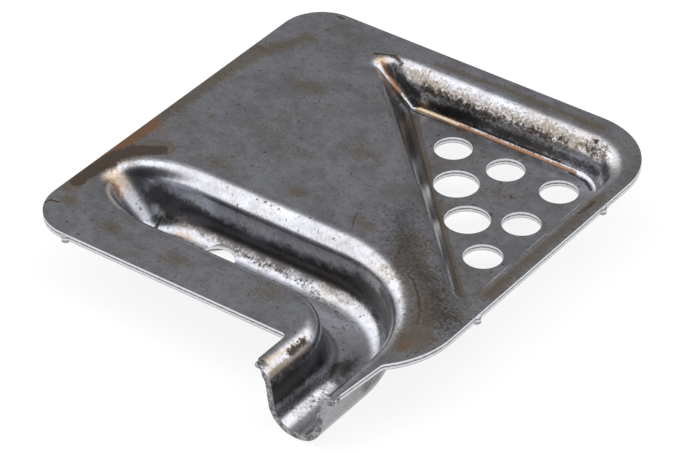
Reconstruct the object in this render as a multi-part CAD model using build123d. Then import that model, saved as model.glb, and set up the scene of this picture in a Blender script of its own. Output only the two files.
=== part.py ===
"""Stamped drain bracket: one sheet of steel with a trough, a spout and a pierced pocket.

The sheet is a blank with rounded corners. A deep trough runs along its near edge, turns
through a right angle and leaves the blank as an open spout. A three-cornered pocket beside
it has a pierced floor. Both are pressed down from the flat rim, and the holes are punched
through the pressed floors.

Setting out, in millimetres: the rim's upper face is Z = 0, and the blank's near left corner,
before it is rounded, is X = 0, Y = 0. The finished sheet is then moved so that the middle of
its bounding box is at X = 0, Y = 0 and its lowest face is at Z = 0.

A wall's sharp edge is where the wall would meet the rim, or the floor, with no bend radius.
The sheet keeps one thickness, so it is what is left between two die blocks: one is formed by
the punches for the upper face, and the other by the same punches grown by the thickness.
"""
from build123d import *
from math import atan2, degrees, hypot, radians, tan
import os

# ---- sheet ----
sheet_thickness = 1.5

# ---- blank outline ----
blank_width = 95.7  # along X
blank_length = 101.0  # along Y
near_left_radius = 10.5
far_left_radius = 10.0
far_right_radius = 17.5
near_right_radius = 21.0
near_right_start = 3.4  # Y where the near right corner starts from the spout's lip
near_right_drop = 6.8  # how far that corner slopes back along Y
left_lip_width = 0.5  # flat lip between the spout's left shoulder and its cut edge
right_lip_width = 0.6
right_lip_taper = 1.2  # the right lip narrows by this towards the outlet
outlet_overhang = 11.3  # how far the spout reaches past the near edge
lip_break_width = 2.4  # the left lip's tip is broken off at a slant
lip_break_length = 1.8
left_notch_radius = 1.2
right_notch_radius = 2.5

# ---- sheared nubs, left where the blank was parted from its strip ----
nub_radius = 0.9
nub_reach = 0.6  # past the cut edge
nub_top = 0.5  # under the rim face
nub_drop = 0.5  # under the rim's lower face
near_edge_nubs = [11.5]  # X of each nub on the near edge
right_edge_nubs = [27.8, 74.0]  # Y of each nub on the right edge

# ---- trough and spout ----
trough_depth = 12.4  # under the rim face, level from the closed end to the outlet
trough_draft = 8.0  # degrees from upright
trough_end_slope = 53.0  # degrees from level: the ramp at the closed end
trough_shoulder_radius = 4.2
trough_floor_radius = 4.8
trough_near = 14.6  # Y of the near wall's sharp edge
trough_width = 16.85
trough_end = 4.7  # X of the closed end's sharp edge
trough_end_length = 17.7  # the closed end is half an ellipse, this long
spout_right_margin = 10.35  # from the blank's right edge to the spout's right wall, sharp
spout_width = 12.4
bend_inner_radius = 13.96
bend_outer_radius = 26.84

# ---- pocket ----
pocket_depth = 8.0
pocket_shoulder_radius = 5.0
pocket_floor_radius = 1.0
pocket_far_margin = 9.3  # from the blank's far edge to the far wall's sharp edge
pocket_right_margin = 5.1
pocket_mouth_width = 67.8  # along the far wall, sharp corner to sharp corner
pocket_mouth_length = 63.2  # along the right wall
pocket_floor_far_inset = 1.4  # from the mouth's sharp edge to the floor's
pocket_floor_right_inset = 3.4
pocket_floor_left_inset = 11.5
pocket_floor_near_inset = 7.1
pocket_left_radius = 1.8  # where the diagonal wall meets the far one
pocket_near_radius = 1.9
pocket_far_right_radius = 8.7

# ---- holes ----
small_hole_radius = 4.25
large_hole_radius = 5.0
corner_hole_right_inset = 11.1  # from the mouth's right edge to the hole that row and column share
corner_hole_far_inset = 9.7
hole_row_pitch = 13.7
hole_column_pitch = 14.3
large_hole_offsets = [(-19.3, -10.5), (-10.0, -19.8)]  # from the corner hole
drain_hole_radius = 4.1
drain_hole_from_end = 26.9  # from the closed end's sharp edge
drain_hole_from_near = 10.1  # from the near wall's sharp edge

# ---- what follows from those sizes ----
quarter_turn = 90.0
trough_far = trough_near + trough_width
spout_right = blank_width - spout_right_margin
spout_left = spout_right - spout_width
pocket_far = blank_length - pocket_far_margin
pocket_right = blank_width - pocket_right_margin
die_margin = 10 * sheet_thickness  # the dies run this far past all that they form
die_depth = trough_depth + die_margin
die_reach = blank_width + blank_length


def bend_shift(slope):
    """Sideways shift of a wall's sharp edge, at its own level, for 1 mm of thickness.

    slope is the wall's slope from level, in degrees.
    """
    return tan(radians(slope) / 2)


def shifted_line(start, end, shift):
    """Move the line from start to end to its right-hand side by shift."""
    run_x = end[0] - start[0]
    run_y = end[1] - start[1]
    length = hypot(run_x, run_y)
    move_x = run_y / length * shift
    move_y = -run_x / length * shift
    return (start[0] + move_x, start[1] + move_y), (end[0] + move_x, end[1] + move_y)


def crossing(first, second):
    """Point where two lines, each given by two points, cross."""
    (ax, ay), (bx, by) = first
    (cx, cy), (dx, dy) = second
    turn = (bx - ax) * (dy - cy) - (by - ay) * (dx - cx)
    share = ((cx - ax) * (dy - cy) - (cy - ay) * (dx - cx)) / turn
    return ax + share * (bx - ax), ay + share * (by - ay)


def grown_triangle(corners, shifts):
    """Move each side of an anticlockwise triangle outwards by its own shift."""
    sides = [shifted_line(corners[i], corners[(i + 1) % 3], shifts[i]) for i in range(3)]
    return [crossing(sides[i - 1], sides[i]) for i in range(3)]


def level_face(corners, level):
    """Level face with the given sharp corners."""
    with BuildSketch(Plane.XY.offset(level)) as sketch:
        with BuildLine():
            Polyline(*corners, close=True)
        make_face()
    return sketch.sketch.face()


def trough_outline(side_inset, end_inset, level):
    """Level section of the trough and spout, drawn in from the sharp mouth by two insets."""
    near = trough_near + side_inset
    far = trough_far - side_inset
    left = spout_left + side_inset
    right = spout_right - side_inset
    inner = bend_inner_radius + side_inset
    outer = bend_outer_radius - side_inset
    outlet = -outlet_overhang - 2 * die_margin
    end_middle = (trough_end + trough_end_length, (near + far) / 2)
    end_radius = trough_end_length - end_inset
    half_turn = 2 * quarter_turn
    with BuildSketch(Plane.XY.offset(level)) as sketch:
        with BuildLine():
            Line((end_middle[0], near), (left - inner, near))
            RadiusArc((left - inner, near), (left, near - inner), inner)
            Line((left, near - inner), (left, outlet))
            Line((left, outlet), (right, outlet))
            Line((right, outlet), (right, far - outer))
            RadiusArc((right, far - outer), (right - outer, far), -outer)
            Line((right - outer, far), (end_middle[0], far))
            EllipticalCenterArc(end_middle, end_radius, (far - near) / 2, quarter_turn, arc_size=half_turn)
        make_face()
    return sketch.sketch.face()


def trough_punch(thickness):
    """Punch for the trough and spout: the space that one face of the sheet wraps.

    thickness is 0 for the sheet's upper face and the sheet's thickness for its lower one.
    """
    side_slope = quarter_turn - trough_draft
    side_grow = thickness * bend_shift(side_slope)
    end_grow = thickness * bend_shift(trough_end_slope)
    side_run = trough_depth / tan(radians(side_slope))
    end_run = trough_depth / tan(radians(trough_end_slope))
    top = trough_outline(-side_grow, -end_grow, -thickness)
    base = trough_outline(side_run - side_grow, end_run - end_grow, -thickness - trough_depth)
    punch = loft([top, base], ruled=True)
    bottom = punch.faces().sort_by(Axis.Z)[0]
    bends = [edge for edge in bottom.edges() if edge.center().Y > -outlet_overhang - die_margin]
    return punch.fillet(trough_floor_radius + thickness, bends)


def pocket_corners():
    """Sharp corners of the pocket's mouth and of its floor: left, near, then far right."""
    left = pocket_right - pocket_mouth_width
    near = pocket_far - pocket_mouth_length
    floor_far = pocket_far - pocket_floor_far_inset
    floor_right = pocket_right - pocket_floor_right_inset
    mouth = [(left, pocket_far), (pocket_right, near), (pocket_right, pocket_far)]
    floor = [
        (left + pocket_floor_left_inset, floor_far),
        (floor_right, near + pocket_floor_near_inset),
        (floor_right, floor_far),
    ]
    return mouth, floor


def wall_slopes(mouth, floor):
    """Slope from level, in degrees, of each pocket wall at the middle of its length."""
    slopes = []
    for i in range(3):
        (ax, ay), (bx, by) = mouth[i], mouth[(i + 1) % 3]
        foot_x = (floor[i][0] + floor[(i + 1) % 3][0]) / 2
        foot_y = (floor[i][1] + floor[(i + 1) % 3][1]) / 2
        run = abs((bx - ax) * (foot_y - ay) - (by - ay) * (foot_x - ax)) / hypot(bx - ax, by - ay)
        slopes.append(degrees(atan2(pocket_depth, run)))
    return slopes


def straight_wall(plane, mouth_edge, floor_edge, top, base):
    """Block behind a wall that runs straight through plane and leans from its mouth to its foot."""
    profile = [(-die_reach, top), (mouth_edge, top), (floor_edge, base), (-die_reach, base)]
    with BuildSketch(plane) as sketch:
        with BuildLine():
            Polyline(*profile, close=True)
        make_face()
    return extrude(sketch.sketch.face(), amount=die_reach, both=True)


def behind_line(start, end):
    """Corners of the wide level area on the left-hand side of the line from start to end."""
    length = hypot(end[0] - start[0], end[1] - start[1])
    along_x = (end[0] - start[0]) / length * blank_width
    along_y = (end[1] - start[1]) / length * blank_width
    start = (start[0] - along_x, start[1] - along_y)
    end = (end[0] + along_x, end[1] + along_y)
    back_start, back_end = shifted_line(start, end, -die_reach)
    return [start, end, back_end, back_start]


def pocket_punch(thickness):
    """Punch for the pocket: two flat walls and a diagonal one that twists along its length."""
    mouth, floor = pocket_corners()
    shifts = [thickness * bend_shift(slope) for slope in wall_slopes(mouth, floor)]
    mouth = grown_triangle(mouth, shifts)
    floor = grown_triangle(floor, shifts)
    top = -thickness
    base = -thickness - pocket_depth
    (mouth_right, mouth_far), (floor_right, floor_far) = mouth[2], floor[2]
    diagonal_mouth = level_face(behind_line(mouth[0], mouth[1]), top)
    diagonal_foot = level_face(behind_line(floor[0], floor[1]), base)
    punch = loft([diagonal_mouth, diagonal_foot], ruled=True)
    punch &= straight_wall(Plane.YZ, mouth_far, floor_far, top, base)
    punch &= straight_wall(Plane.XZ, mouth_right, floor_right, top, base)
    middle = (top + base) / 2
    radii = (pocket_left_radius, pocket_near_radius, pocket_far_right_radius)
    for corner, radius in zip(mouth, radii):
        sloping = [edge for edge in punch.edges() if abs(edge.center().Z - middle) < pocket_depth / 4]
        nearest = ShapeList(sloping).sort_by_distance(Vector(*corner, top))[0]
        punch = punch.fillet(radius + thickness, [nearest])
    bottom = punch.faces().sort_by(Axis.Z)[0]
    return punch.fillet(pocket_floor_radius + thickness, bottom.edges())


def die_solid(thickness):
    """Everything under one face of the pressed sheet, before the blank is trimmed."""
    block = Pos(-die_margin, -outlet_overhang - die_margin, -thickness) * Box(
        blank_width + 2 * die_margin,
        blank_length + outlet_overhang + 2 * die_margin,
        die_depth,
        align=(Align.MIN, Align.MIN, Align.MAX),
    )
    block -= pocket_punch(thickness)
    rim = block.faces().sort_by(Axis.Z)[-1]
    block = block.fillet(pocket_shoulder_radius - thickness, rim.inner_wires()[0].edges())
    block -= trough_punch(thickness)
    rim = block.faces().sort_by(Axis.Z)[-1]
    block_edges = rim.bounding_box()
    shoulders = []
    for edge in rim.outer_wire().edges():
        middle = edge.center()
        beside = min(middle.X - block_edges.min.X, block_edges.max.X - middle.X)
        before = min(middle.Y - block_edges.min.Y, block_edges.max.Y - middle.Y)
        if min(beside, before) > sheet_thickness:
            shoulders.append(edge)
    return block.fillet(trough_shoulder_radius - thickness, shoulders)


def trimmed_blank():
    """Prism of the blank's cut outline, with the spout's lips."""
    shoulder = trough_shoulder_radius * bend_shift(quarter_turn - trough_draft)
    lip_left = spout_left - shoulder - left_lip_width
    lip_right = spout_right + shoulder + right_lip_width
    outline = {
        (0, 0): near_left_radius,
        (lip_left, 0): left_notch_radius,
        (lip_left, lip_break_length - outlet_overhang): 0,
        (lip_left + lip_break_width, -outlet_overhang): 0,
        (lip_right - right_lip_taper, -outlet_overhang): 0,
        (lip_right, near_right_start): right_notch_radius,
        (blank_width, near_right_start + near_right_drop): near_right_radius,
        (blank_width, blank_length): far_right_radius,
        (0, blank_length): far_left_radius,
    }
    face = level_face(list(outline), sheet_thickness)
    prism = extrude(face, amount=die_depth + die_margin, dir=(0, 0, -1))
    for (x, y), radius in outline.items():
        if radius > 0:
            upright = prism.edges().filter_by(Axis.Z).sort_by_distance(Vector(x, y, 0))[0]
            prism = prism.fillet(radius, [upright])
    return prism


def edge_nubs():
    """Round nubs that stand a little out of the near and right cut edges."""
    centre_depth = nub_radius - nub_reach
    places = [(x, centre_depth) for x in near_edge_nubs]
    places += [(blank_width - centre_depth, y) for y in right_edge_nubs]
    height = sheet_thickness + nub_drop - nub_top
    hung = (Align.CENTER, Align.CENTER, Align.MAX)
    return [Pos(x, y, -nub_top) * Cylinder(nub_radius, height, align=hung) for x, y in places]


def hole_punches():
    """Round punches for the pocket's pierced floor and the trough's drain hole."""
    x = pocket_right - corner_hole_right_inset
    y = pocket_far - corner_hole_far_inset
    small = [(x, y)]
    small += [(x - hole_row_pitch * step, y) for step in (1, 2)]
    small += [(x, y - hole_column_pitch * step) for step in (1, 2)]
    sized = [(place, small_hole_radius) for place in small]
    sized += [((x + offset_x, y + offset_y), large_hole_radius) for offset_x, offset_y in large_hole_offsets]
    drain = (trough_end + drain_hole_from_end, trough_near + drain_hole_from_near)
    sized.append((drain, drain_hole_radius))
    return [Pos(*place) * Cylinder(radius, 2 * die_depth) for place, radius in sized]


def drain_bracket():
    """The finished sheet, in its own frame."""
    sheet = (die_solid(0) - die_solid(sheet_thickness)) & trimmed_blank()
    sheet += edge_nubs()
    sheet -= hole_punches()
    box = sheet.bounding_box()
    middle = box.center()
    return Pos(-middle.X, -middle.Y, -box.min.Z) * sheet


os.makedirs("parts", exist_ok=True)
export_step(drain_bracket(), "parts/drain_bracket.step")
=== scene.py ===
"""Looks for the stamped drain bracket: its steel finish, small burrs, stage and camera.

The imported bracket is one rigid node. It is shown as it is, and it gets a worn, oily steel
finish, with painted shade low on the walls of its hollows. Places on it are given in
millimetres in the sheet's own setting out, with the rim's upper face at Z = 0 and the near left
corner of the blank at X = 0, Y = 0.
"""

import logging
import math
from dataclasses import dataclass, field
from enum import Enum
from itertools import product

import bpy
import numpy as np
from mathutils import Matrix, Vector


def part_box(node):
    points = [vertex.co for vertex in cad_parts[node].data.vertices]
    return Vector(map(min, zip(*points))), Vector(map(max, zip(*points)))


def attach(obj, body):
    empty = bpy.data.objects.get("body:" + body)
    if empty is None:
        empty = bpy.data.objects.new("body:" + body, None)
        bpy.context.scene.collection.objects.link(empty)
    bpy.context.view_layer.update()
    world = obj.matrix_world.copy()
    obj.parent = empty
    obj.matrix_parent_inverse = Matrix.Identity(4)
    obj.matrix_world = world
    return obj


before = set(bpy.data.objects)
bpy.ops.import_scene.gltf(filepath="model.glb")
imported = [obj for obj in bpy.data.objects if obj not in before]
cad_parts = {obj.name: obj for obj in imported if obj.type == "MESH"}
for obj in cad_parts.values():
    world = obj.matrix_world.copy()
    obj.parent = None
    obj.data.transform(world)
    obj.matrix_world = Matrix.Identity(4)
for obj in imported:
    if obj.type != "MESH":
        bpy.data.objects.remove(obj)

LOG = logging.getLogger("drain_bracket")
MM = 0.001
NODE_NAME = "drain_bracket"
OUTLET_OVERHANG = 11.3  # how far the spout reaches past the near edge, mm
NOISE_MIDDLE = 0.5  # mean of every noise


class Tint(Enum):
    """What a mark is made of; one tint is painted shade."""

    FILM = "film"  # thin brown oil varnish
    STRAW = "straw"  # golden varnish on bright metal
    COPPER = "copper"  # orange rust bloom
    RUST = "rust"  # dark brown crust
    SOOT = "soot"  # black grime in folds and cracks
    OIL = "oil"  # painted shade: near-black colour low on the walls, in corners and on the floor by the bend, where shade falls
    BARE = "bare"  # rubbed bright


@dataclass(frozen=True)
class SettingOut:
    """Carries points between the sheet's setting out, in mm, and the row frame, in m."""

    low: tuple
    high: tuple

    @classmethod
    def of_node(cls, name: str) -> "SettingOut":
        """Read the node's box from the frame."""
        low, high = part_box(name)
        return cls(tuple(low), tuple(high))

    @property
    def offset(self) -> Vector:
        """The setting out's zero point in the row frame, in metres."""
        return Vector((self.low[0], self.low[1] + OUTLET_OVERHANG * MM, self.high[2]))

    def place(self, x: float, y: float, z: float) -> Vector:
        """Row-frame point of a setting-out point in mm."""
        return self.offset + Vector((x, y, z)) * MM


@dataclass(frozen=True)
class Noise:
    """A noise pattern: the size of its features in mm, its detail, roughness and distortion."""

    size: float
    detail: float
    rough: float
    distortion: float = 0.0


@dataclass(frozen=True)
class Ramp:
    """A smooth step: the values where it starts and ends, and what it gives at both."""

    low: float
    high: float
    start: float = 0.0
    end: float = 1.0


class Graph:
    """A small writer for shader node graphs."""

    def __init__(self, tree: bpy.types.NodeTree, clear: bool = True) -> None:
        """Keep the tree and clear it if asked.

        Args:
            tree: The node tree to write to.
            clear: Whether the tree is emptied first.
        """
        self.tree = tree
        if clear:
            tree.nodes.clear()

    def node(self, kind: str, **settings: object) -> bpy.types.Node:
        """Add a node and set its properties.

        Args:
            kind: The node's type name.
            **settings: Its properties by name.

        Returns:
            The new node.
        """
        made = self.tree.nodes.new(kind)
        for key, value in settings.items():
            setattr(made, key, value)
        return made

    def link(self, source: object, socket: bpy.types.NodeSocket) -> None:
        """Link a socket, or write a plain value, into a socket.

        Args:
            source: A socket, a number, a vector or a colour.
            socket: The input that takes it.
        """
        if isinstance(source, bpy.types.NodeSocket):
            self.tree.links.new(source, socket)
        elif isinstance(source, (tuple, list)) and socket.type == "RGBA":
            socket.default_value = (*source[:3], 1.0)
        else:
            socket.default_value = source

    def math(self, op: str, *given: object) -> bpy.types.NodeSocket:
        """One math node; none is clamped, because clamps use up the renderer's value stack.

        Args:
            op: The operation's name.
            *given: Its numbers or sockets, in order.

        Returns:
            The result's socket.
        """
        made = self.node("ShaderNodeMath", operation=op)
        for socket, source in zip(made.inputs, given):
            self.link(source, socket)
        return made.outputs[0]

    def vector(self, op: str, a: object, b: object = (0.0, 0.0, 0.0)) -> bpy.types.Node:
        """One vector math node; the caller picks its output.

        Args:
            op: The operation's name.
            a: First vector or socket.
            b: Second one, or the factor of a SCALE.

        Returns:
            The new node.
        """
        made = self.node("ShaderNodeVectorMath", operation=op)
        self.link(a, made.inputs[0])
        if op == "SCALE":
            self.link(b, made.inputs["Scale"])
        else:
            self.link(b, made.inputs[1])
        return made

    def smooth(self, value: object, ramp: Ramp) -> bpy.types.NodeSocket:
        """Smooth step of a value.

        Args:
            value: The socket that is read.
            ramp: The step.

        Returns:
            The result's socket.
        """
        made = self.node("ShaderNodeMapRange", interpolation_type="SMOOTHSTEP", clamp=True)
        names = ("Value", "From Min", "From Max", "To Min", "To Max")
        for name, given in zip(names, (value, ramp.low, ramp.high, ramp.start, ramp.end)):
            self.link(given, made.inputs[name])
        return made.outputs[0]

    def mix(self, share: object, first: object, second: object) -> bpy.types.NodeSocket:
        """Blend two colours.

        Args:
            share: Share of the second colour.
            first: Colour or socket.
            second: Colour or socket.

        Returns:
            The colour's socket.
        """
        made = self.node("ShaderNodeMix", data_type="RGBA", clamp_factor=True)
        self.link(share, made.inputs[0])
        self.link(first, made.inputs[6])  # colour A
        self.link(second, made.inputs[7])  # colour B
        return made.outputs[2]  # colour result

    def blend(self, share: object, first: object, second: object) -> bpy.types.NodeSocket:
        """Blend two numbers.

        Args:
            share: Share of the second number.
            first: Number or socket.
            second: Number or socket.

        Returns:
            The number's socket.
        """
        made = self.node("ShaderNodeMix", data_type="FLOAT", clamp_factor=True)
        self.link(share, made.inputs[0])
        self.link(first, made.inputs[2])  # number A
        self.link(second, made.inputs[3])  # number B
        return made.outputs[0]  # number result

    def noise(self, place: object, pattern: Noise) -> bpy.types.NodeSocket:
        """Noise from 0 to 1.

        Args:
            place: Socket with the place in mm.
            pattern: The noise's settings.

        Returns:
            The noise's socket.
        """
        made = self.node("ShaderNodeTexNoise", noise_dimensions="3D")
        self.link(place, made.inputs["Vector"])
        made.inputs["Scale"].default_value = 1.0 / pattern.size
        made.inputs["Detail"].default_value = pattern.detail
        made.inputs["Roughness"].default_value = pattern.rough
        made.inputs["Distortion"].default_value = pattern.distortion
        return made.outputs["Fac"]


class Grain(Enum):
    """How far a mark breaks up, as the weight of the speck noise against its closeness."""

    EVEN = 0.3
    BROKEN = 0.9
    SPECKS = 1.7


class Stencils:
    """Node groups that measure how far a place is from a straight run or from an oval.

    Run: the offset from the start, dotted with the run over its squared length and kept from
    0 to 1, says which point of the run is nearest, and the distance is taken from that point.
    Oval: the distance is the length of the offset from the middle over the half sizes.
    """

    def __init__(self) -> None:
        """Make both groups."""
        self.run = self.shell("near_run", ("Place", "Start", "Run", "Pull"))
        graph = Graph(self.run, clear=False)
        given = self.run.nodes["in"].outputs
        offset = graph.vector("SUBTRACT", given["Place"], given["Start"]).outputs[0]
        share = graph.vector("DOT_PRODUCT", offset, given["Pull"]).outputs["Value"]
        share = graph.math("MINIMUM", graph.math("MAXIMUM", share, 0.0), 1.0)
        foot = graph.vector("SCALE", given["Run"], share).outputs[0]
        away = graph.vector("DISTANCE", offset, foot).outputs["Value"]
        graph.link(away, self.run.nodes["out"].inputs[0])
        self.oval = self.shell("near_oval", ("Place", "Middle", "Squeeze"))
        graph = Graph(self.oval, clear=False)
        given = self.oval.nodes["in"].outputs
        offset = graph.vector("SUBTRACT", given["Place"], given["Middle"]).outputs[0]
        scaled = graph.vector("MULTIPLY", offset, given["Squeeze"]).outputs[0]
        away = graph.vector("LENGTH", scaled).outputs["Value"]
        graph.link(away, self.oval.nodes["out"].inputs[0])

    def shell(self, name: str, inputs: tuple) -> bpy.types.NodeTree:
        """An empty group with vector inputs and one distance output.

        Args:
            name: The group's name.
            inputs: The names of its inputs.

        Returns:
            The group, with its end nodes named in and out.
        """
        tree = bpy.data.node_groups.new(name, "ShaderNodeTree")
        for label in inputs:
            tree.interface.new_socket(label, in_out="INPUT", socket_type="NodeSocketVector")
        tree.interface.new_socket("Distance", in_out="OUTPUT", socket_type="NodeSocketFloat")
        tree.nodes.new("NodeGroupInput").name = "in"
        tree.nodes.new("NodeGroupOutput").name = "out"
        return tree


@dataclass(frozen=True)
class Fields:
    """Shared coordinates, noises and stencils that every mark draws on."""

    stencils: Stencils
    place: bpy.types.NodeSocket
    edge: bpy.types.NodeSocket  # 1, moved up and down by the warp noise
    speck: bpy.types.NodeSocket


class Region(Enum):
    """Parts of the sheet with a material of their own, as the box in mm that their marks touch."""

    PLATE = ((-5.0, -14.0, -1.6), (100.0, 105.0, -0.1))
    TROUGH = ((-5.0, -14.0, -14.0), (96.0, 42.0, -0.3))
    POCKET = ((20.0, 25.0, -10.0), (96.0, 97.0, -0.3))

    @property
    def place(self) -> int:
        """Number of the region's material slot."""
        return list(Region).index(self)


@dataclass(frozen=True)
class Mark:
    """What every mark has: its tint, its strength and its grain."""

    tint: Tint
    strength: float
    grain: Grain

    def touches(self, region: Region) -> bool:
        """Whether the mark's box meets the region's box.

        Args:
            region: The part of the sheet.

        Returns:
            True where they meet.
        """
        low, high = self.box()
        floor, top = region.value
        return bool(np.all(low < top) and np.all(high > floor))


@dataclass(frozen=True)
class Blot(Mark):
    """An oval mark: its middle and half sizes, in mm."""

    middle: tuple
    reach: tuple

    def box(self) -> tuple:
        """Low and high corner of the mark."""
        return np.array(self.middle) - self.reach, np.array(self.middle) + self.reach

    def closeness(self, graph: Graph, fields: Fields) -> bpy.types.NodeSocket:
        """1 in the middle, falling to 0 at the oval's edge and below 0 outside it.

        Args:
            graph: The material's graph.
            fields: Its shared fields.

        Returns:
            The closeness's socket.
        """
        group = graph.node("ShaderNodeGroup", node_tree=fields.stencils.oval)
        graph.link(fields.place, group.inputs["Place"])
        graph.link(self.middle, group.inputs["Middle"])
        graph.link(tuple(1.0 / reach for reach in self.reach), group.inputs["Squeeze"])
        return graph.math("SUBTRACT", fields.edge, group.outputs[0])


@dataclass(frozen=True)
class Trail(Mark):
    """A mark along a run of points, with its half width, in mm."""

    points: tuple
    width: float

    def box(self) -> tuple:
        """Low and high corner of the mark."""
        return np.min(self.points, axis=0) - self.width, np.max(self.points, axis=0) + self.width

    def closeness(self, graph: Graph, fields: Fields) -> bpy.types.NodeSocket:
        """1 on the run, falling to 0 a half width away and below 0 further off.

        Args:
            graph: The material's graph.
            fields: Its shared fields.

        Returns:
            The closeness's socket.
        """
        nearest = None
        for start, end in zip(self.points, self.points[1:]):
            run = Vector(end) - Vector(start)
            group = graph.node("ShaderNodeGroup", node_tree=fields.stencils.run)
            graph.link(fields.place, group.inputs["Place"])
            graph.link(start, group.inputs["Start"])
            graph.link(tuple(run), group.inputs["Run"])
            graph.link(tuple(run / run.length_squared), group.inputs["Pull"])
            away = group.outputs[0]
            nearest = away if nearest is None else graph.math("MINIMUM", nearest, away)
        return graph.math("MULTIPLY_ADD", nearest, -1.0 / self.width, fields.edge)


@dataclass(frozen=True)
class Coat:
    """How a tint changes the steel."""

    colour: tuple
    keeps: float  # share of the steel's own tone that stays
    roughness: float
    metallic: float


COATS = {
    Tint.BARE: Coat((0.55, 0.55, 0.57), 0.3, 0.22, 1.0),
    Tint.FILM: Coat((0.112, 0.075, 0.032), 0.34, 0.30, 0.92),
    Tint.STRAW: Coat((0.29, 0.190, 0.085), 0.35, 0.28, 1.0),
    Tint.COPPER: Coat((0.160, 0.070, 0.024), 0.12, 0.36, 0.85),
    Tint.RUST: Coat((0.024, 0.013, 0.006), 0.05, 0.50, 0.3),
    Tint.SOOT: Coat((0.012, 0.010, 0.010), 0.1, 0.5, 0.5),
    # painted shade: a near-black metallic colour that stands in for the shade in the hollows
    Tint.OIL: Coat((0.026, 0.021, 0.018), 0.14, 0.28, 1.0),
}

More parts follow.
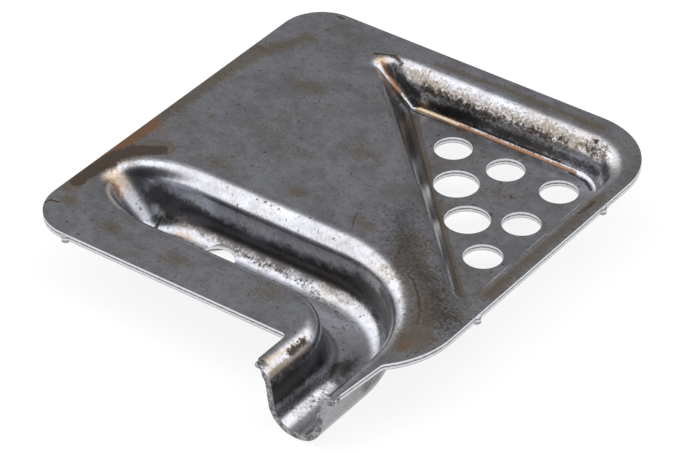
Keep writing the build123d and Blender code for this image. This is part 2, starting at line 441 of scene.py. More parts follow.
MARKS: tuple = (
    # left edge and the left corner
    Trail(Tint.FILM, 0.95, Grain.BROKEN,
          ((0.0, 20.0, 0.0), (0.5, 44.0, 0.0), (0.8, 66.0, 0.0), (2.5, 78.0, 0.0)), 4.2),
    Trail(Tint.FILM, 0.7, Grain.BROKEN, ((2.0, 76.0, 0.0), (8.0, 88.5, 0.0)), 4.0),
    Trail(Tint.COPPER, 1.2, Grain.BROKEN, ((0.0, 24.5, 0.0), (0.8, 41.0, 0.0)), 3.4),
    Blot(Tint.COPPER, 0.5, Grain.BROKEN, (3.5, 41.5, 0.0), (4.2, 4.5, 2.0)),
    Trail(Tint.RUST, 1.2, Grain.BROKEN,
          ((1.6, 16.0, 0.0), (2.2, 23.5, 0.0), (2.6, 28.0, 0.0), (4.6, 32.0, 0.0),
           (8.4, 34.8, 0.0)), 3.0),
    Blot(Tint.RUST, 1.0, Grain.BROKEN, (1.3, 20.0, 0.0), (1.9, 4.5, 2.0)),
    Blot(Tint.FILM, 0.8, Grain.BROKEN, (4.8, 9.6, 0.0), (4.5, 3.0, 2.0)),
    Trail(Tint.FILM, 1.0, Grain.BROKEN,
          ((1.0, 14.0, 0.0), (2.6, 26.0, 0.0), (5.0, 33.0, 0.0), (9.0, 36.4, 0.0)), 4.6),
    Trail(Tint.RUST, 0.9, Grain.SPECKS, ((0.6, 5.0, -0.3), (1.6, 7.4, 0.0), (3.4, 7.9, 0.0)), 0.8),
    # near strip
    Blot(Tint.FILM, 0.7, Grain.BROKEN, (17.7, 7.3, 0.0), (6.0, 4.0, 2.0)),
    Blot(Tint.FILM, 0.75, Grain.BROKEN, (35.1, 6.8, 0.0), (7.0, 4.0, 2.0)),
    Blot(Tint.FILM, 0.5, Grain.BROKEN, (57.0, 8.5, 0.0), (8.0, 5.0, 2.0)),
    # middle of the plate
    Blot(Tint.FILM, 0.75, Grain.BROKEN, (20.1, 73.0, 0.0), (7.0, 5.0, 2.0)),
    Trail(Tint.SOOT, 0.45, Grain.BROKEN, ((23.0, 69.0, 0.0), (26.5, 70.8, 0.0)), 0.8),
    Blot(Tint.FILM, 0.6, Grain.SPECKS, (9.7, 51.7, 0.0), (2.4, 2.0, 2.0)),
    Blot(Tint.RUST, 0.9, Grain.EVEN, (24.0, 57.4, 0.0), (0.6, 0.5, 2.0)),
    Blot(Tint.FILM, 0.6, Grain.SPECKS, (21.5, 38.6, 0.0), (6.5, 2.6, 2.0)),
    Blot(Tint.FILM, 0.75, Grain.BROKEN, (41.2, 40.2, 0.0), (6.0, 3.4, 2.0)),
    Blot(Tint.FILM, 0.7, Grain.BROKEN, (59.5, 39.3, 0.0), (6.0, 3.2, 2.0)),
    Blot(Tint.FILM, 0.6, Grain.SPECKS, (44.0, 60.0, 0.0), (9.0, 5.0, 2.0)),
    Blot(Tint.FILM, 0.5, Grain.SPECKS, (34.0, 52.0, 0.0), (8.0, 4.0, 2.0)),
    Trail(Tint.SOOT, 0.9, Grain.EVEN,
          ((57.9, 36.9, 0.0), (56.7, 39.2, 0.0), (55.8, 41.8, 0.0)), 0.32),
    Blot(Tint.SOOT, 0.9, Grain.BROKEN, (9.0, 99.6, 0.0), (2.4, 0.9, 2.0)),
    # beside the bend and below the pocket
    Trail(Tint.FILM, 1.0, Grain.BROKEN,
          ((70.5, 40.0, 0.0), (75.3, 32.8, 0.0), (81.6, 28.8, 0.0), (87.5, 22.1, 0.0),
           (90.4, 13.5, 0.0)), 6.0),
    # painted shade: near-black colour over the plate by the bend and the bend's outer shoulder
    Trail(Tint.OIL, 0.34, Grain.BROKEN,
          ((64.0, 46.0, 0.0), (72.0, 36.0, 0.0), (82.0, 31.0, 0.0), (92.0, 22.0, 0.0)), 9.0),
    Trail(Tint.RUST, 0.6, Grain.BROKEN,
          ((75.3, 31.2, 0.0), (78.8, 29.2, 0.0), (82.3, 25.9, 0.0), (85.5, 22.1, 0.0),
           (87.8, 17.8, 0.0)), 1.0),
    Trail(Tint.RUST, 0.9, Grain.EVEN,
          ((78.6, 29.4, 0.0), (82.1, 26.1, 0.0), (84.3, 23.6, 0.0)), 0.5),
    Blot(Tint.FILM, 1.0, Grain.BROKEN, (89.6, 11.4, 0.0), (3.4, 4.2, 2.0)),
    Blot(Tint.COPPER, 0.5, Grain.BROKEN, (89.8, 11.0, 0.0), (2.2, 3.0, 2.0)),
    Blot(Tint.FILM, 0.7, Grain.BROKEN, (80.5, 33.0, 0.0), (4.0, 4.5, 2.0)),
    Blot(Tint.FILM, 0.5, Grain.SPECKS, (92.5, 25.5, 0.0), (3.5, 6.0, 2.0)),
    # rims right and far of the pocket
    Trail(Tint.FILM, 0.75, Grain.BROKEN,
          ((93.2, 34.0, 0.0), (93.4, 60.0, 0.0), (93.4, 76.0, 0.0)), 3.4),
    Trail(Tint.RUST, 0.8, Grain.SPECKS, ((93.0, 69.0, 0.0), (93.2, 74.0, 0.0)), 1.1),
    Trail(Tint.FILM, 0.75, Grain.BROKEN,
          ((37.0, 97.0, 0.0), (58.0, 97.8, 0.0), (80.0, 97.6, 0.0)), 1.7),
    # pocket: tip, valley, folds and the far wall
    Blot(Tint.STRAW, 1.0, Grain.EVEN, (26.4, 91.4, -0.6), (2.6, 2.0, 2.2)),
    Trail(Tint.RUST, 0.85, Grain.BROKEN,
          ((23.6, 92.4, 0.0), (27.8, 94.2, 0.0), (30.2, 93.4, -0.9)), 0.9),
    Trail(Tint.RUST, 0.75, Grain.BROKEN,
          ((28.8, 92.4, -1.3), (31.4, 91.0, -3.2), (34.0, 90.4, -5.4)), 1.3),
    Trail(Tint.COPPER, 1.0, Grain.EVEN,
          ((26.4, 91.2, -0.8), (29.4, 90.2, -2.8), (32.6, 89.4, -5.0)), 0.9),
    Trail(Tint.STRAW, 1.0, Grain.EVEN,
          ((30.5, 89.7, -3.7), (34.0, 88.6, -6.2), (37.8, 87.2, -8.0)), 1.0),
    Trail(Tint.FILM, 1.0, Grain.BROKEN,
          ((38.2, 86.8, -8.0), (50.6, 73.6, -8.0), (69.2, 54.2, -8.0), (84.0, 38.8, -8.0)), 1.5),
    Trail(Tint.SOOT, 1.0, Grain.EVEN,
          ((37.6, 86.6, -7.6), (50.0, 73.6, -7.6), (68.6, 54.0, -7.6), (83.4, 38.6, -7.6)), 0.62),
    Trail(Tint.STRAW, 0.9, Grain.BROKEN,
          ((37.3, 90.0, -7.4), (42.7, 90.0, -7.6), (50.6, 89.8, -7.9)), 1.5),
    Trail(Tint.RUST, 0.8, Grain.BROKEN,
          ((37.0, 88.6, -8.0), (44.0, 88.7, -8.0), (50.6, 88.9, -8.0)), 0.55),
    Trail(Tint.COPPER, 1.0, Grain.BROKEN,
          ((48.6, 89.7, -8.0), (66.5, 89.9, -8.0), (78.4, 89.8, -8.0)), 0.8),
    Trail(Tint.SOOT, 1.0, Grain.BROKEN,
          ((48.6, 90.6, -7.2), (66.5, 90.6, -7.2), (74.0, 90.6, -7.2)), 0.55),
    Trail(Tint.SOOT, 1.0, Grain.BROKEN,
          ((77.5, 89.2, -8.0), (82.0, 88.6, -8.0), (84.6, 86.6, -8.0)), 0.6),
    Trail(Tint.FILM, 0.6, Grain.SPECKS,
          ((34.0, 92.4, -2.0), (52.0, 92.0, -2.6), (72.0, 92.6, -1.9), (84.0, 91.0, -1.8)), 3.0),
    Trail(Tint.RUST, 0.62, Grain.SPECKS,
          ((38.0, 91.6, -3.2), (51.0, 91.4, -3.6), (62.0, 91.8, -3.2), (74.0, 92.0, -3.0)), 1.9),
    Trail(Tint.SOOT, 0.85, Grain.BROKEN,
          ((30.8, 91.6, -2.6), (33.6, 91.2, -3.8), (36.4, 90.9, -5.2)), 1.7),
    # painted shade low on the pocket's far wall
    Trail(Tint.OIL, 0.75, Grain.BROKEN,
          ((40.0, 90.6, -5.8), (56.0, 90.6, -5.8), (72.0, 90.6, -5.8), (84.0, 89.6, -5.6)), 2.2),
    Blot(Tint.RUST, 1.0, Grain.BROKEN, (81.2, 93.3, -0.7), (0.9, 1.0, 2.0)),
    Blot(Tint.RUST, 0.5, Grain.SPECKS, (82.0, 92.0, -1.6), (6.0, 3.0, 3.0)),
    Trail(Tint.SOOT, 0.7, Grain.EVEN,
          ((71.4, 93.9, -0.7), (70.2, 91.6, -3.2), (67.4, 90.3, -7.6)), 0.22),
    Trail(Tint.BARE, 0.8, Grain.EVEN, ((67.0, 89.4, -8.0), (65.6, 85.2, -8.0)), 0.28),
    # painted shade in the pocket's far right corner and on its right and diagonal walls
    Blot(Tint.OIL, 0.7, Grain.BROKEN, (86.0, 89.4, -3.4), (3.4, 4.0, 3.4)),
    Trail(Tint.OIL, 0.6, Grain.BROKEN,
          ((89.0, 80.0, -5.0), (89.2, 60.0, -4.6), (89.4, 42.0, -3.6)), 2.6),
    Trail(Tint.OIL, 0.75, Grain.EVEN,
          ((39.0, 83.0, -4.5), (51.0, 68.6, -4.2), (69.0, 50.0, -4.0), (84.0, 36.4, -3.6)), 2.6),
    Blot(Tint.FILM, 0.45, Grain.BROKEN, (70.0, 74.0, -8.0), (9.0, 7.0, 2.0)),
    # trough: ramp, crease, floor
    Blot(Tint.STRAW, 0.85, Grain.SPECKS, (6.4, 22.6, -2.0), (5.0, 4.6, 4.6)),
    Blot(Tint.COPPER, 0.9, Grain.SPECKS, (7.2, 21.8, -3.4), (2.6, 1.4, 3.0)),
    Trail(Tint.SOOT, 1.0, Grain.EVEN,
          ((15.3, 29.4, -6.8), (17.6, 29.7, -8.2), (23.0, 30.1, -8.8), (31.0, 30.2, -9.0),
           (39.4, 30.2, -8.8)), 0.36),
    Trail(Tint.SOOT, 1.0, Grain.EVEN,
          ((39.4, 30.2, -8.8), (47.0, 29.9, -9.7), (54.5, 30.2, -8.6), (60.9, 30.2, -7.6),
           (65.6, 29.2, -7.9), (71.0, 26.8, -7.9), (74.6, 24.4, -6.8)), 0.34),
    Trail(Tint.SOOT, 0.8, Grain.SPECKS, ((36.0, 30.3, -8.6), (44.0, 30.2, -8.8)), 0.9),
    Trail(Tint.FILM, 0.7, Grain.BROKEN,
          ((15.0, 28.4, -9.7), (20.0, 29.4, -10.4), (34.0, 29.6, -10.6), (46.0, 29.4, -10.8)), 2.4),
    Blot(Tint.RUST, 0.85, Grain.BROKEN, (16.2, 28.6, -10.0), (2.2, 1.6, 1.8)),
    Trail(Tint.SOOT, 0.9, Grain.BROKEN,
          ((14.6, 28.0, -10.4), (15.0, 25.6, -11.6), (15.6, 23.4, -12.2)), 0.7),
    Blot(Tint.STRAW, 0.6, Grain.SPECKS, (22.4, 25.4, -12.4), (4.4, 3.4, 3.0)),
    Blot(Tint.COPPER, 0.6, Grain.SPECKS, (22.6, 24.6, -12.4), (2.6, 1.4, 2.0)),
    Trail(Tint.RUST, 0.35, Grain.SPECKS,
          ((30.0, 28.4, -11.6), (40.4, 28.2, -11.6), (52.0, 28.2, -11.4)), 1.6),
    Trail(Tint.RUST, 0.3, Grain.SPECKS,
          ((52.0, 27.6, -11.8), (64.0, 24.0, -11.8), (72.0, 15.0, -11.8)), 2.2),
    # painted shade low on the trough's far wall, round the bend and on the floor by the bend
    Trail(Tint.OIL, 1.0, Grain.EVEN,
          ((12.5, 29.0, -6.0), (16.0, 30.4, -8.0), (24.0, 30.6, -9.2), (44.0, 30.6, -9.4),
           (60.0, 30.6, -9.0)), 4.0),
    Trail(Tint.OIL, 1.0, Grain.EVEN,
          ((60.0, 30.6, -9.0), (69.0, 28.8, -7.8), (76.6, 23.4, -7.0), (81.2, 15.0, -6.4),
           (83.6, 4.0, -6.0)), 4.6),
    Blot(Tint.OIL, 0.9, Grain.EVEN, (75.0, 9.0, -12.2), (3.4, 9.0, 3.0)),
    Trail(Tint.OIL, 1.0, Grain.EVEN,
          ((73.0, 27.6, -4.5), (77.6, 23.6, -4.0), (80.6, 19.6, -4.2), (84.2, 13.0, -3.4)), 2.4),
    # spout
    # painted shade low on the spout's left wall
    Trail(Tint.OIL, 1.0, Grain.EVEN,
          ((73.4, -10.5, -6.0), (73.6, 0.0, -6.2), (73.4, 8.0, -6.2), (70.0, 12.5, -6.2)), 4.4),
    Blot(Tint.SOOT, 0.9, Grain.BROKEN, (70.0, -10.0, -0.7), (1.7, 1.5, 1.4)),
    Blot(Tint.SOOT, 0.7, Grain.BROKEN, (87.2, -10.3, -0.7), (2.2, 1.2, 1.2)),
    Trail(Tint.STRAW, 0.4, Grain.SPECKS,
          ((70.6, -9.6, -0.2), (71.4, -2.6, -0.5), (71.2, 2.6, -0.8)), 1.3),
    Trail(Tint.RUST, 0.8, Grain.SPECKS, ((72.0, -3.2, -1.0), (71.9, 1.4, -1.1)), 1.3),
    Trail(Tint.FILM, 1.0, Grain.BROKEN,
          ((72.6, -10.6, -2.2), (72.8, -4.2, -2.1), (72.6, 2.0, -2.0)), 1.5),
    Trail(Tint.RUST, 0.6, Grain.BROKEN, ((73.2, -10.6, -3.4), (73.3, -2.0, -3.2)), 1.2),
    Trail(Tint.STRAW, 1.0, Grain.EVEN, ((73.9, -8.6, -6.4), (74.0, -3.4, -7.2)), 0.26),
    Blot(Tint.RUST, 0.25, Grain.SPECKS, (76.6, -1.0, -12.0), (3.6, 9.0, 3.0)),
    Blot(Tint.SOOT, 0.25, Grain.SPECKS, (80.4, -8.0, -12.3), (2.6, 3.6, 2.4)),
)


@dataclass(frozen=True)
class PressedSteel:
    """Cold-rolled steel after pressing: satin, bluish grey, oily, stained and a little rusty,
    with painted shade low on the walls of its hollows.

    Lengths are in mm. Tones and roughness come first, then the marks, the cut faces and the relief.
    """

    bright: tuple = (0.358, 0.366, 0.402)
    dull: tuple = (0.276, 0.278, 0.300)
    brown: tuple = (0.215, 0.180, 0.130)
    pit: tuple = (0.045, 0.040, 0.038)
    roughness: float = 0.25
    roughness_spread: float = 0.05
    specular: float = 0.15
    clouds: Noise = Noise(9.0, 4.0, 0.6, 0.6)
    mottle: Noise = Noise(2.4, 5.0, 0.62)
    haze: Noise = Noise(17.0, 5.0, 0.62)
    specks: Noise = Noise(0.7, 5.0, 0.75)
    pits: Noise = Noise(1.1, 3.0, 0.65)
    fine: Noise = Noise(0.35, 2.0, 0.5)
    cloud_share: float = 0.6  # weight of the clouds, the rest being mottle
    cloud_tone: Ramp = Ramp(0.38, 0.60)
    haze_break: float = 0.35  # weight of the specks in the haze
    haze_tone: Ramp = Ramp(0.62, 0.92, 0.0, 0.55)
    speck_tone: Ramp = Ramp(0.46, 0.66, 0.0, 0.18)
    pit_tone: Ramp = Ramp(0.61, 0.70, 0.0, 0.85)

    warp: Noise = Noise(2.8, 4.0, 0.65)  # moves the marks' edges
    first_trace: float = 0.05  # closeness where a mark starts to show, at middling specks
    full_cover: float = 0.62  # closeness where it covers the steel
    rim: Ramp = Ramp(0.0, 0.2)  # fades specks out beyond the mark

    sheared: tuple = (0.72, 0.73, 0.76)
    torn: tuple = (0.10, 0.095, 0.095)
    frayed: tuple = (0.36, 0.35, 0.36)
    sheet_thickness: float = 1.5
    pocket_depth: float = 8.0
    trough_depth: float = 12.4
    level_slack: float = 0.2  # a cut this far above a floor still belongs to it
    upright: Ramp = Ramp(0.10, 0.04)  # of the normal's upward share
    fray: float = 0.45  # how far specks move the bands, as a share of the thickness
    line_middle: float = 0.46  # where the dark line runs, as a share of the thickness
    line_slope: float = 5.0  # how fast it fades, per thickness
    line_tone: Ramp = Ramp(0.0, 0.8, 0.0, 0.9)
    foot_tone: Ramp = Ramp(0.78, 1.0, 0.0, 0.65)
    ragged: Noise = Noise(1.3, 4.0, 0.7)
    ragged_tone: Ramp = Ramp(0.40, 0.62)
    outlet: Ramp = Ramp(-8.8, -9.4)  # Y where the spout's torn end begins
    cut_strength: float = 0.92

    bump_height: float = 0.02
    bump_strength: float = 0.22
    speck_height: float = 0.8  # height of the specks against the fine grain

    def steel(self, graph: Graph, place: object, mottle: object, speck: object) -> tuple:
        """The plain sheet: mottling, brown haze and small dark pits.

        Args:
            graph: The material's graph.
            place: Socket with the place in mm.
            mottle: Socket of the mottle noise.
            speck: Socket of the speck noise.

        Returns:
            Colour and roughness.
        """
        clouds = graph.noise(place, self.clouds)
        small = graph.math("MULTIPLY", mottle, 1.0 - self.cloud_share)
        cloud = graph.math("MULTIPLY_ADD", clouds, self.cloud_share, small)
        colour = graph.mix(graph.smooth(cloud, self.cloud_tone), self.dull, self.bright)
        haze = graph.noise(place, self.haze)
        broken = graph.math("MULTIPLY_ADD", speck, self.haze_break, haze)
        colour = graph.mix(graph.smooth(broken, self.haze_tone), colour, self.brown)
        colour = graph.mix(graph.smooth(speck, self.speck_tone), colour, self.pit)
        pits = graph.noise(place, self.pits)
        colour = graph.mix(graph.smooth(pits, self.pit_tone), colour, self.pit)
        smoothest = self.roughness - self.roughness_spread / 2
        roughness = graph.math("MULTIPLY_ADD", mottle, self.roughness_spread, smoothest)
        return colour, roughness

    def cover(self, graph: Graph, fields: Fields, marks: list) -> object:
        """Joint cover of marks of one tint and grain.

        Args:
            graph: The material's graph.
            fields: Its shared fields.
            marks: The marks, which may be none.

        Returns:
            The cover's socket, or None where there are no marks.
        """
        near = None
        for mark in marks:
            strong = graph.math("MULTIPLY", mark.closeness(graph, fields), mark.strength)
            near = strong if near is None else graph.math("MAXIMUM", near, strong)
        if near is None:
            return None
        weight = marks[0].grain.value
        broken = graph.math("MULTIPLY_ADD", fields.speck, weight, near)
        middling = NOISE_MIDDLE * weight
        trace = Ramp(middling + self.first_trace, middling + self.full_cover)
        return graph.math("MULTIPLY", graph.smooth(broken, trace), graph.smooth(near, self.rim))

    def cut_depth(self, graph: Graph, drop: object) -> bpy.types.NodeSocket:
        """Depth below the upper face of the plate, the pocket's floor or the trough's floor.

        Args:
            graph: The material's graph.
            drop: Socket with the depth below the plate's upper face.

        Returns:
            The depth's socket, as a share of the sheet's thickness.
        """
        in_pocket = graph.math("GREATER_THAN", drop, self.pocket_depth - self.level_slack)
        in_trough = graph.math("GREATER_THAN", drop, self.trough_depth - self.level_slack)
        further = self.trough_depth - self.pocket_depth
        depth = graph.math("SUBTRACT", drop, graph.math("MULTIPLY", in_pocket, self.pocket_depth))
        depth = graph.math("SUBTRACT", depth, graph.math("MULTIPLY", in_trough, further))
        return graph.math("MULTIPLY", depth, 1.0 / self.sheet_thickness)

    def cut_faces(self, graph: Graph, place: object, normal: object, speck: object) -> tuple:
        """The cut faces: sheared bright at the top, torn dark below, and ragged at the outlet.

        Args:
            graph: The material's graph.
            place: Socket with the place in mm.
            normal: Socket with the surface's direction.
            speck: Socket of the speck noise.

        Returns:
            Share of cut face, which is 1 where the surface is upright, and its colour.
        """
        axes = graph.node("ShaderNodeSeparateXYZ")
        graph.link(normal, axes.inputs[0])
        upright = graph.smooth(graph.math("ABSOLUTE", axes.outputs["Z"]), self.upright)
        spots = graph.node("ShaderNodeSeparateXYZ")
        graph.link(place, spots.inputs[0])
        share = self.cut_depth(graph, graph.math("MULTIPLY", spots.outputs["Z"], -1.0))
        moved = graph.math("SUBTRACT", speck, NOISE_MIDDLE)
        share = graph.math("MULTIPLY_ADD", moved, self.fray, share)
        away = graph.math("SUBTRACT", share, self.line_middle)
        away = graph.math("ABSOLUTE", graph.math("MULTIPLY", away, self.line_slope))
        dark = graph.smooth(graph.math("SUBTRACT", 1.0, away), self.line_tone)
        foot = graph.smooth(share, self.foot_tone)
        pressed = graph.mix(graph.math("MAXIMUM", dark, foot), self.sheared, self.torn)
        ragged = graph.smooth(graph.noise(place, self.ragged), self.ragged_tone)
        broken = graph.mix(ragged, self.torn, self.frayed)
        outlet = graph.smooth(spots.outputs["Y"], self.outlet)
        return upright, graph.mix(outlet, pressed, broken)

    def build(
        self, setting: SettingOut, stencils: Stencils, region: Region
    ) -> bpy.types.Material:
        """Make the material of one region, which is the same steel with that region's marks.

        Args:
            setting: The sheet's setting out.
            stencils: Shared node groups of the marks.
            region: The part of the sheet.

        Returns:
            The finished material.
        """
        material = bpy.data.materials.new(f"pressed_steel_{region.name.lower()}")
        material.use_nodes = True
        graph = Graph(material.node_tree)
        coordinates = graph.node("ShaderNodeTexCoord")
        zero = tuple(setting.offset)
        moved = graph.vector("SUBTRACT", coordinates.outputs["Object"], zero).outputs[0]
        place = graph.vector("SCALE", moved, 1.0 / MM).outputs[0]
        mottle = graph.noise(place, self.mottle)
        speck = graph.noise(place, self.specks)
        fine = graph.noise(place, self.fine)
        edge = graph.math("ADD", graph.noise(place, self.warp), 1.0 - NOISE_MIDDLE)
        fields = Fields(stencils, place, edge, speck)
        marks = [mark for mark in MARKS if mark.touches(region)]
        LOG.info("%s: %d marks", region.name, len(marks))
        colour, roughness = self.steel(graph, place, mottle, speck)
        metallic = 1.0
        plain = colour
        for tint, grain in product(COATS, Grain):
            alike = [mark for mark in marks if mark.tint is tint and mark.grain is grain]
            cover = self.cover(graph, fields, alike)
            if cover is None:
                continue
            coat = COATS[tint]
            coated = graph.mix(coat.keeps, coat.colour, plain)
            colour = graph.mix(cover, colour, coated)
            roughness = graph.blend(cover, roughness, coat.roughness)
            metallic = graph.blend(cover, metallic, coat.metallic)
        upright, cut = self.cut_faces(graph, place, coordinates.outputs["Normal"], speck)
        colour = graph.mix(graph.math("MULTIPLY", upright, self.cut_strength), colour, cut)
        bump = graph.node("ShaderNodeBump")
        bump.inputs["Distance"].default_value = self.bump_height * MM
        bump.inputs["Strength"].default_value = self.bump_strength
        relief = graph.math("MULTIPLY_ADD", speck, self.speck_height, fine)
        graph.link(relief, bump.inputs["Height"])
        shader = graph.node("ShaderNodeBsdfPrincipled")
        graph.link(colour, shader.inputs["Base Color"])
        graph.link(metallic, shader.inputs["Metallic"])
        graph.link(roughness, shader.inputs["Roughness"])
        graph.link(bump.outputs[0], shader.inputs["Normal"])
        shader.inputs["Specular IOR Level"].default_value = self.specular
        output = graph.node("ShaderNodeOutputMaterial")
        graph.link(shader.outputs[0], output.inputs["Surface"])
        return material


@dataclass
class Sheet:
    """The pressed sheet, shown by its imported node."""

    setting: SettingOut
    finish: PressedSteel = field(default_factory=PressedSteel)
    plate_foot: float = -1.6  # faces below this don't belong to the plate, mm
    level: float = 0.9999  # a level face's normal has at least this upward share
    upright: float = 0.05  # and an upright face's has less than this
    pocket_tip: tuple = (22.8, 91.7)
    diagonal: tuple = (63.2, 67.8)  # how far the pocket's diagonal runs across and down, mm
    pocket_side: float = -8.0  # its faces start this far before the diagonal, mm

    def regions(self, mesh: bpy.types.Mesh) -> np.ndarray:
        """Sort the faces: the plate's level and upright ones, then by side of the diagonal.

        A face is beyond the diagonal by its offset from the pocket's tip, taken square to the
        diagonal: x times its run down plus y times its run across, over its length.

        Args:
            mesh: The node's mesh, which is only read.

        Returns:
            Number of every face's material slot.
        """
        count = len(mesh.polygons)
        centres, normals = np.empty(count * 3), np.empty(count * 3)
        mesh.polygons.foreach_get("center", centres)
        mesh.polygons.foreach_get("normal", normals)
        x, y, z = ((centres.reshape(-1, 3) - np.array(self.setting.offset)) / MM).T
        tilt = np.abs(normals.reshape(-1, 3)[:, 2])
        tip_x, tip_y = self.pocket_tip
        across, down = self.diagonal
        beyond = ((x - tip_x) * down + (y - tip_y) * across) / math.hypot(across, down)
        plain = (tilt > self.level) | (tilt < self.upright)
        plate = (z > self.plate_foot) & plain & (y > 0.0)
        pressed = np.where(beyond > self.pocket_side, Region.POCKET.place, Region.TROUGH.place)
        return np.where(plate, Region.PLATE.place, pressed).astype(np.int32)

    def dress(self) -> bpy.types.Object:
        """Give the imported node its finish, region by region.

        Returns:
            The node's object.
        """
        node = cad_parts[NODE_NAME]
        node.data.materials.clear()
        stencils = Stencils()
        for region in Region:
            node.data.materials.append(self.finish.build(self.setting, stencils, region))
        node.data.polygons.foreach_set("material_index", self.regions(node.data))
        return node


@dataclass
class Burr:
    """A torn lump of metal on a lip of the spout, as a pebble with seeded ridges.

    Its middle and its half sizes, the reach, are in mm.
    """

    setting: SettingOut
    name: str
    middle: tuple
    reach: tuple
    seed: int
    rows: int = 28
    columns: int = 44
    ridges: int = 3
    wave_spread: float = 4.5  # of the ridges' wave numbers, on the unit sphere
    height: float = 0.062  # of each ridge, as a share of the radius

    def points(self) -> np.ndarray:
        """Both poles and the rows between them.

        On the unit sphere at p, the radius is 1 + height * sum of sin(k . p + phase) over the
        ridges' seeded wave vectors k. It is then stretched by the reach and moved to the middle.

        Returns:
            Points in the row frame, in metres.
        """
        draw = np.random.default_rng(self.seed)
        waves = draw.normal(0.0, self.wave_spread, (self.ridges, 3))
        phases = draw.uniform(0.0, math.tau, self.ridges)
        lift = np.linspace(0.0, math.pi, self.rows + 2)[1:-1, None]
        turn = np.linspace(0.0, math.tau, self.columns, endpoint=False)[None, :]
        out = np.sin(lift)
        axis = np.cos(lift) + np.zeros_like(turn)
        sphere = np.stack((out * np.cos(turn), out * np.sin(turn), axis), axis=-1)
        sphere = np.vstack(((0.0, 0.0, 1.0), sphere.reshape(-1, 3), (0.0, 0.0, -1.0)))
        radius = 1.0 + self.height * np.sin(sphere @ waves.T + phases).sum(axis=1)
        spots = sphere * radius[:, None] * self.reach + self.middle
        return np.array(self.setting.offset) + spots * MM

    def faces(self) -> list:
        """A fan at each pole and quads between the rows, all facing outwards.

        Returns:
            Point numbers of every face.
        """
        ring = np.arange(self.columns)
        after = (ring + 1) % self.columns
        starts = 1 + self.columns * np.arange(self.rows - 1)[:, None]
        below = starts + self.columns
        quads = np.stack((starts + ring, below + ring, below + after, starts + after), axis=-1)
        last = 1 + self.columns * (self.rows - 1)
        top = np.stack((np.zeros_like(ring), 1 + ring, 1 + after), axis=-1)
        pole = np.full_like(ring, last + self.columns)
        foot = np.stack((pole, last + after, last + ring), axis=-1)
        return top.tolist() + quads.reshape(-1, 4).tolist() + foot.tolist()

    def build(self, steel: bpy.types.Material) -> bpy.types.Object:
        """Make the burr and let it ride on the sheet.

        Args:
            steel: The material of the spout.

        Returns:
            The burr's object.
        """
        mesh = bpy.data.meshes.new(self.name)
        mesh.from_pydata(self.points().tolist(), [], self.faces())
        mesh.materials.append(steel)
        burr = bpy.data.objects.new(self.name, mesh)
        bpy.context.scene.collection.objects.link(burr)
        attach(burr, "root")
        return burr


@dataclass(frozen=True)
class Lobe:
    """A part of the surroundings with its own level, full within inner and gone beyond outer.

    Angles are in degrees. Azimuth counts from +Y towards +X, and elevation from the horizon.
    """

    azimuth: float
    elevation: float
    level: float
    inner: float
    outer: float

    @property
    def direction(self) -> tuple:
        """Unit vector towards the lobe's middle."""
        turn, lift = math.radians(self.azimuth), math.radians(self.elevation)
        out = math.cos(lift)
        return (math.sin(turn) * out, math.cos(turn) * out, math.sin(lift))


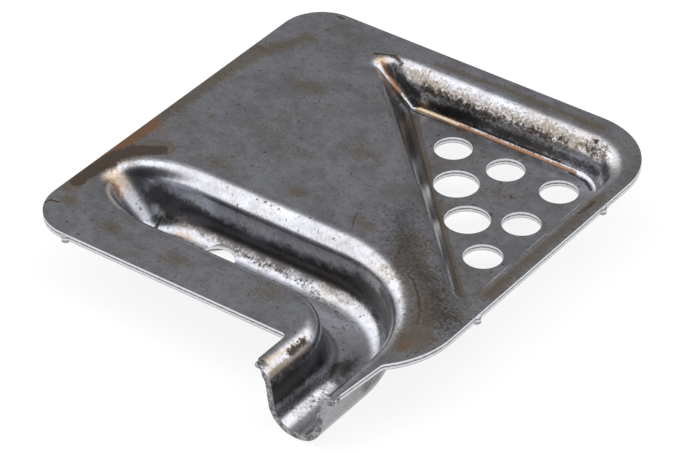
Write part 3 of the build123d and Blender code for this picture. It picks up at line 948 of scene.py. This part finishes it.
@dataclass
class Stage:
    """Pale floor, camera and soft surroundings, which give all the light.

    Lengths are in mm unless their comment says metres, and angles are in degrees.
    """

    setting: SettingOut
    azimuth: float = 36.27  # of the camera, from -Y towards +X
    elevation: float = 36.13
    distance: float = 754.21  # from the aim point
    aim: tuple = (45.0, 45.0, 0.0)  # in the setting out
    shift_right: float = 3.0865  # slides in the camera's own plane
    shift_up: float = -8.2709
    focal_pixels: float = 3600.0  # focal length in pixels of the frame
    frame_width: int = 680  # pixels
    sensor: float = 36.0
    clip: tuple = (0.01, 50.0)  # metres
    floor_size: float = 6.0  # metres
    floor_gap: float = 0.05  # between floor and sheet
    floor_grey: float = 0.85
    floor_glow: float = 0.87  # share of plain white, which leaves a soft shadow
    ambient: float = 1.15
    horizon: float = 0.45  # level at the horizon, as a share of the ambient level
    rise: tuple = (0.05, 0.42)  # heights of a unit direction where that rise starts and ends
    lobes: tuple = (  # azimuth, elevation, level, inner, outer
        Lobe(62.0, 38.0, 1.9, 22.0, 52.0),
        Lobe(-100.0, 52.0, 3.1, 34.0, 58.0),
        Lobe(-145.0, 22.0, 3.0, 26.0, 44.0),
        Lobe(30.0, 54.0, 3.2, 20.0, 37.0),
        Lobe(-10.0, 6.0, 0.28, 16.0, 34.0),
        Lobe(-35.0, 33.0, 0.36, 12.0, 37.0),
        Lobe(150.0, 44.0, 0.05, 30.0, 46.0),
    )

    def camera(self) -> bpy.types.Object:
        """Make the camera on a sphere round the aim point, then slide it in its own plane.

        Returns:
            The camera's object.
        """
        turn, lift = math.radians(self.azimuth), math.radians(self.elevation)
        out = math.cos(lift)
        back = Vector((math.sin(turn) * out, -math.cos(turn) * out, math.sin(lift)))
        right = Vector((math.cos(turn), math.sin(turn), 0.0))
        up = back.cross(right)
        offset = back * self.distance + right * self.shift_right + up * self.shift_up
        lens = bpy.data.cameras.new("camera")
        lens.sensor_width = self.sensor
        lens.lens = self.focal_pixels / self.frame_width * self.sensor
        lens.clip_start, lens.clip_end = self.clip
        camera = bpy.data.objects.new("camera", lens)
        camera.matrix_world = Matrix((right, up, back)).transposed().to_4x4()
        camera.location = self.setting.place(*self.aim) + offset * MM
        bpy.context.scene.collection.objects.link(camera)
        bpy.context.scene.camera = camera
        return camera

    def floor(self) -> bpy.types.Object:
        """Flat pale floor just under the sheet, near white to the eye and in reflections.

        Returns:
            The floor's object.
        """
        half = self.floor_size / 2
        corners = [(-half, -half, 0), (half, -half, 0), (half, half, 0), (-half, half, 0)]
        mesh = bpy.data.meshes.new("floor")
        mesh.from_pydata(corners, [], [(0, 1, 2, 3)])
        floor = bpy.data.objects.new("floor", mesh)
        floor.location.z = -self.floor_gap * MM
        bpy.context.scene.collection.objects.link(floor)
        material = bpy.data.materials.new("floor")
        material.use_nodes = True
        graph = Graph(material.node_tree)
        rays = graph.node("ShaderNodeLightPath")
        seen = graph.math("MAXIMUM", rays.outputs["Is Camera Ray"], rays.outputs["Is Glossy Ray"])
        seen = graph.math("MAXIMUM", seen, rays.outputs["Is Transmission Ray"])
        diffuse = graph.node("ShaderNodeBsdfDiffuse")
        graph.link((self.floor_grey,) * 3, diffuse.inputs["Color"])
        glow = graph.node("ShaderNodeEmission")
        mixer = graph.node("ShaderNodeMixShader")
        graph.link(graph.math("MULTIPLY", seen, self.floor_glow), mixer.inputs[0])
        graph.link(diffuse.outputs[0], mixer.inputs[1])
        graph.link(glow.outputs[0], mixer.inputs[2])
        output = graph.node("ShaderNodeOutputMaterial")
        graph.link(mixer.outputs[0], output.inputs["Surface"])
        mesh.materials.append(material)
        return floor

    def surroundings(self) -> None:
        """Soft pale surroundings, bright at the sides, dim behind the sheet and by the camera."""
        world = bpy.data.worlds.new("surroundings")
        bpy.context.scene.world = world
        world.use_nodes = True
        graph = Graph(world.node_tree)
        direction = graph.node("ShaderNodeTexCoord").outputs["Generated"]
        height = graph.node("ShaderNodeSeparateXYZ")
        graph.link(direction, height.inputs[0])
        level = graph.smooth(
            height.outputs["Z"], Ramp(*self.rise, self.ambient * self.horizon, self.ambient)
        )
        for lobe in self.lobes:
            facing = graph.vector("DOT_PRODUCT", direction, lobe.direction).outputs["Value"]
            reach = Ramp(math.cos(math.radians(lobe.outer)), math.cos(math.radians(lobe.inner)))
            level = graph.blend(graph.smooth(facing, reach), level, lobe.level)
        background = graph.node("ShaderNodeBackground")
        background.inputs["Color"].default_value = (1, 1, 1, 1)
        graph.link(level, background.inputs["Strength"])
        output = graph.node("ShaderNodeOutputWorld")
        graph.link(background.outputs[0], output.inputs["Surface"])

    def build(self) -> None:
        """Make the whole stage."""
        bpy.context.scene.view_settings.view_transform = "Standard"
        self.camera()
        self.floor()
        self.surroundings()


def main() -> None:
    """Dress the sheet, make the lip burrs and set the stage."""
    logging.basicConfig(level=logging.INFO, format="%(name)s: %(message)s")
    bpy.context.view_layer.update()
    setting = SettingOut.of_node(NODE_NAME)
    sheet = Sheet(setting).dress()
    LOG.info("%s: dressed", sheet.name)
    steel = sheet.data.materials[Region.TROUGH.place]
    burrs = (
        Burr(
            setting, "left_lip_burr", middle=(70.0, -10.1, -0.75), reach=(1.3, 0.95, 0.55), seed=7
        ),
        Burr(
            setting, "right_lip_burr", middle=(87.1, -10.4, -0.75), reach=(1.7, 0.7, 0.55), seed=11
        ),
    )
    for burr in burrs:
        LOG.info("%s: made", burr.build(steel).name)
    Stage(setting).build()
    LOG.info("stage set")


if __name__ == "__main__":
    main()
